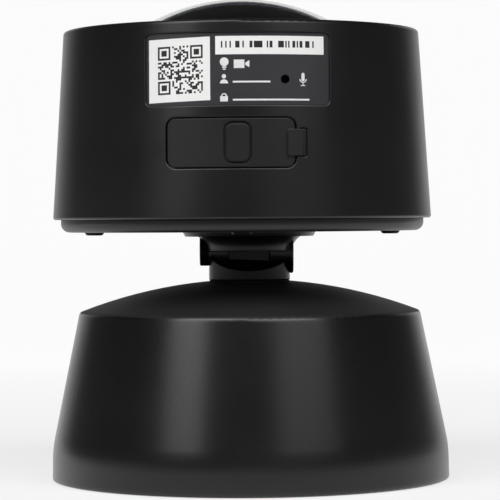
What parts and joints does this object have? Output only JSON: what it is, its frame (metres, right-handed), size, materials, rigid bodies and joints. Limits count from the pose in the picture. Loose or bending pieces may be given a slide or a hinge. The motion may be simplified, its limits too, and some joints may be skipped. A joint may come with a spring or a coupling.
{
  "type": "floodlight security camera",
  "caption": "Floodlight security camera: a tapered drum head with a lens dome and a lamp ring, on a tilting, turning neck over a bell-shaped wall canopy.",
  "frame": {"origin": "centre of the canopy's wall face, where the object stands in the picture", "axes": "+Z from the wall face through the swivel to the lens; the label and the rubber plug look along -Y; +X to the right as seen from the label side"},
  "size_m": [0.12, 0.12, 0.1447],
  "materials": {
    "canopy_plastic": "satin black moulded plastic",
    "drum_plastic": "fine satin black moulded plastic",
    "cover_plastic": "satin black moulded plastic",
    "bezel_plastic": "gloss black moulded plastic",
    "neck_metal": "black paint on die-cast metal",
    "shroud_plastic": "matt black moulded plastic",
    "ring_plastic": "matt moulded plastic",
    "reflector_plastic": "metallised moulded plastic",
    "plug_rubber": "matt black moulded rubber",
    "gasket_rubber": "matt rubber",
    "zinc_steel": "zinc-plated pressed steel",
    "black_steel": "black-oxide steel",
    "green_steel": "green-dyed zinc-plated steel",
    "bare_aluminium": "die-cast, bare",
    "circuit_board": "solder-masked board",
    "lamp_board": "white solder-masked board",
    "lamp_phosphor": "phosphor gel in a white package",
    "window_clear": "polished clear polycarbonate",
    "dome_clear": "polished clear polycarbonate",
    "lens_glass": "coated optical glass",
    "label_film": "matt dark-grey printed film",
    "card_plastic": "satin black card",
    "button_plastic": "satin light-grey moulded plastic"
  },
  "bodies": {
    "base": {"canopy": "canopy_plastic", "wall_gasket": "gasket_rubber", "crossbar": "zinc_steel", "side_screw_1": "black_steel", "side_screw_2": "black_steel", "earth_screw": "green_steel", "swivel_seal": "gasket_rubber"},
    "post": {"swivel_post": "neck_metal", "stop_washer": "zinc_steel", "swivel_nut": "zinc_steel", "lead_grommet": "gasket_rubber"},
    "head": {"yoke": "neck_metal", "hinge_screw": "black_steel", "hinge_nut": "zinc_steel", "ring_nut": "ring_plastic", "rear_cover": "cover_plastic", "cover_seal": "gasket_rubber", "cover_screw_1": "black_steel", "cover_screw_2": "black_steel", "cover_screw_3": "black_steel", "cover_screw_4": "black_steel", "drum": "drum_plastic", "main_board": "circuit_board", "heat_sink": "bare_aluminium", "led_board": "lamp_board", "lamp_1": "lamp_phosphor", "lamp_2": "lamp_phosphor", "lamp_3": "lamp_phosphor", "lamp_4": "lamp_phosphor", "lamp_5": "lamp_phosphor", "lamp_6": "lamp_phosphor", "lamp_7": "lamp_phosphor", "lamp_8": "lamp_phosphor", "lamp_9": "lamp_phosphor", "lamp_10": "lamp_phosphor", "lamp_11": "lamp_phosphor", "lamp_12": "lamp_phosphor", "reflector": "reflector_plastic", "light_window": "window_clear", "window_seal": "gasket_rubber", "bezel": "bezel_plastic", "dome_cover": "dome_clear", "dome_retainer": "bezel_plastic", "lens_shroud": "shroud_plastic", "sensor_board": "circuit_board", "lens_barrel": "shroud_plastic", "front_lens": "lens_glass", "label_panel": "label_film", "microphone": "bare_aluminium", "card_socket": "zinc_steel", "reset_switch": "ring_plastic", "tether_anchor": "plug_rubber"},
    "plug": {"port_plug": "plug_rubber"},
    "card": {"memory_card": "card_plastic"},
    "reset": {"reset_button": "button_plastic"}
  },
  "joints": [
    {"name": "swivel", "type": "hinge", "parent": "base", "child": "post", "pos_m": [0, 0, 0.06], "axis": [0, 0, 1], "range_deg": [-160, 160]},
    {"name": "tilt", "type": "hinge", "parent": "post", "child": "head", "pos_m": [0, 0, 0.06861], "axis": [1, 0, 0], "range_deg": [-22, 22]},
    {"name": "plug_flap", "type": "hinge", "parent": "head", "child": "plug", "pos_m": [0.0156, -0.05289, 0.09981], "axis": [0, 0, 1], "range_deg": [0, 90]},
    {"name": "card_push", "type": "slide", "parent": "head", "child": "card", "axis": [0, 1, 0], "range_m": [0, 0.0008], "stiffness_N_per_m": 1000},
    {"name": "reset_push", "type": "slide", "parent": "head", "child": "reset", "axis": [0, 1, 0], "range_m": [0, 0.0004], "stiffness_N_per_m": 2000}
  ]
}
